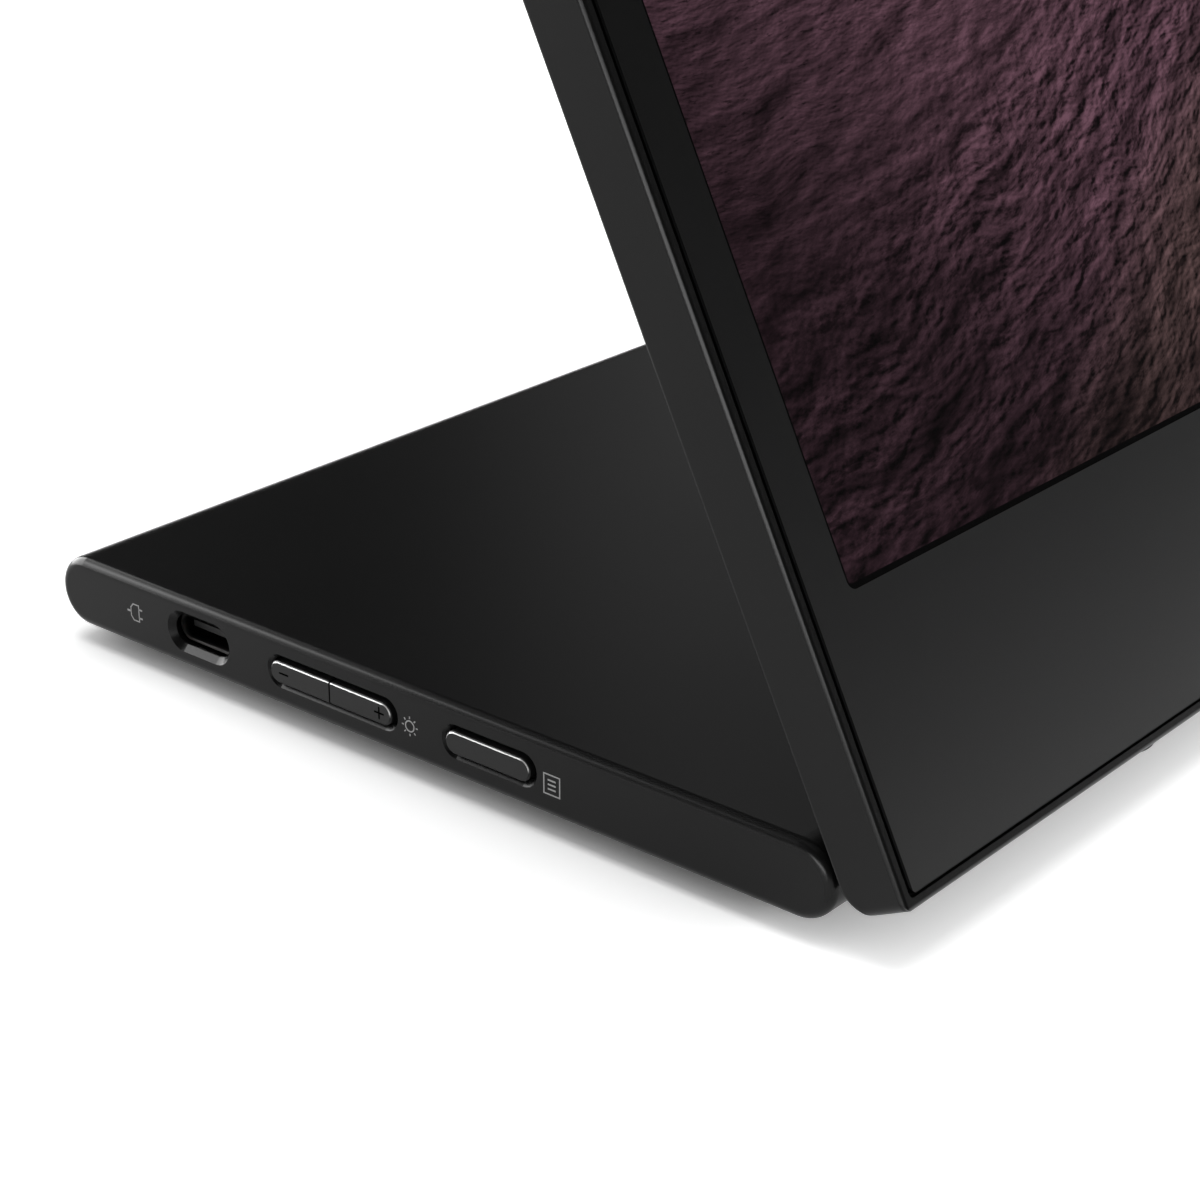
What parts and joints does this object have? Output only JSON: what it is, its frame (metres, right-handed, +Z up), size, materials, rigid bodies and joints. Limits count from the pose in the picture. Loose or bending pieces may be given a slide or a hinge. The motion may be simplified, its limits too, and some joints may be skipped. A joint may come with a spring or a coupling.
{
  "type": "portable monitor",
  "caption": "Slim black portable monitor whose screen leans back on a flat full-width stand base and folds down onto it, with sockets and keys in the base's side faces.",
  "frame": {"origin": "under the middle of the whole object at rest, on the surface that its rubber feet stand on", "axes": "+X to the viewer's right along the width, +Y from the viewer to the back, +Z up"},
  "size_m": [0.324, 0.1132, 0.1945],
  "materials": {
    "stand_casing": "satin black, anodised over a fine blast",
    "screen_casing": "satin black, glass-filled moulding",
    "key_caps": "satin black with a bright bevelled edge",
    "knuckle_plastic": "satin black",
    "foot_rubber": "matt",
    "front_glass": "gloss, printed black behind round the picture",
    "foam_tape": "matt",
    "panel_glass": "gloss",
    "white_film": "matt white",
    "clear_acrylic": "clear",
    "tray_metal": "pressed sheet",
    "circuit_board": "green lacquer",
    "amber_film": "amber film",
    "switch_plastic": "matt black",
    "socket_steel": "drawn steel",
    "gold_contacts": "gold plated",
    "hinge_steel": "ground steel",
    "dark_steel": "blackened",
    "cable_jacket": "matt"
  },
  "bodies": {
    "stand_base": {"base_housing": "stand_casing", "base_bottom_cover": "stand_casing", "front_foot_left": "foot_rubber", "front_foot_right": "foot_rubber", "rear_foot_left": "foot_rubber", "rear_foot_right": "foot_rubber", "main_board": "circuit_board", "side_board": "circuit_board", "board_link_ribbon": "amber_film", "key_switches": "switch_plastic", "usb_c_tongue_left": "switch_plastic", "usb_c_tongue_right": "switch_plastic", "usb_c_shell_left": "socket_steel", "usb_c_shell_right": "socket_steel", "usb_c_contacts": "gold_contacts", "hinge_base_leaf_left": "hinge_steel", "hinge_base_leaf_right": "hinge_steel", "base_stiffener_plate": "hinge_steel", "cover_screws": "dark_steel", "board_screws": "dark_steel", "base_leaf_screws": "dark_steel", "display_cable_base": "cable_jacket"},
    "screen": {"screen_housing": "screen_casing", "cover_glass": "front_glass", "glass_adhesive": "foam_tape", "lcd_cell": "panel_glass", "diffuser_sheets": "white_film", "light_guide": "clear_acrylic", "reflector_sheet": "white_film", "backlight_tray": "tray_metal", "led_strip": "white_film", "panel_driver_board": "circuit_board", "panel_flexes": "amber_film", "driver_board_screws": "dark_steel", "hinge_pin_left": "hinge_steel", "hinge_pin_right": "hinge_steel", "hinge_washers_left": "dark_steel", "hinge_washers_right": "dark_steel", "hinge_nut_left": "hinge_steel", "hinge_nut_right": "hinge_steel", "hinge_screen_leaf_left": "hinge_steel", "hinge_screen_leaf_right": "hinge_steel", "screen_leaf_screws": "dark_steel", "knuckle_cover_left": "knuckle_plastic", "knuckle_cover_right": "knuckle_plastic", "display_cable_screen": "cable_jacket"},
    "brightness_down_key": {"brightness_down_key": "key_caps"},
    "brightness_up_key": {"brightness_up_key": "key_caps"},
    "menu_key": {"menu_key": "key_caps"},
    "power_key": {"power_key": "key_caps"}
  },
  "joints": [
    {"name": "screen_tilt", "type": "hinge", "parent": "stand_base", "child": "screen", "pos_m": [0, -0.04488, 0.0064], "axis": [-1, 0, 0], "range_deg": [-31.5, 63.5]},
    {"name": "brightness_down_press", "type": "slide", "parent": "stand_base", "child": "brightness_down_key", "axis": [1, 0, 0], "range_m": [0, 0.00035], "stiffness_N_per_m": 3000},
    {"name": "brightness_up_press", "type": "slide", "parent": "stand_base", "child": "brightness_up_key", "axis": [1, 0, 0], "range_m": [0, 0.00035], "stiffness_N_per_m": 3000},
    {"name": "menu_press", "type": "slide", "parent": "stand_base", "child": "menu_key", "axis": [1, 0, 0], "range_m": [0, 0.00035], "stiffness_N_per_m": 3000},
    {"name": "power_press", "type": "slide", "parent": "stand_base", "child": "power_key", "axis": [-1, 0, 0], "range_m": [0, 0.00035], "stiffness_N_per_m": 3000}
  ]
}
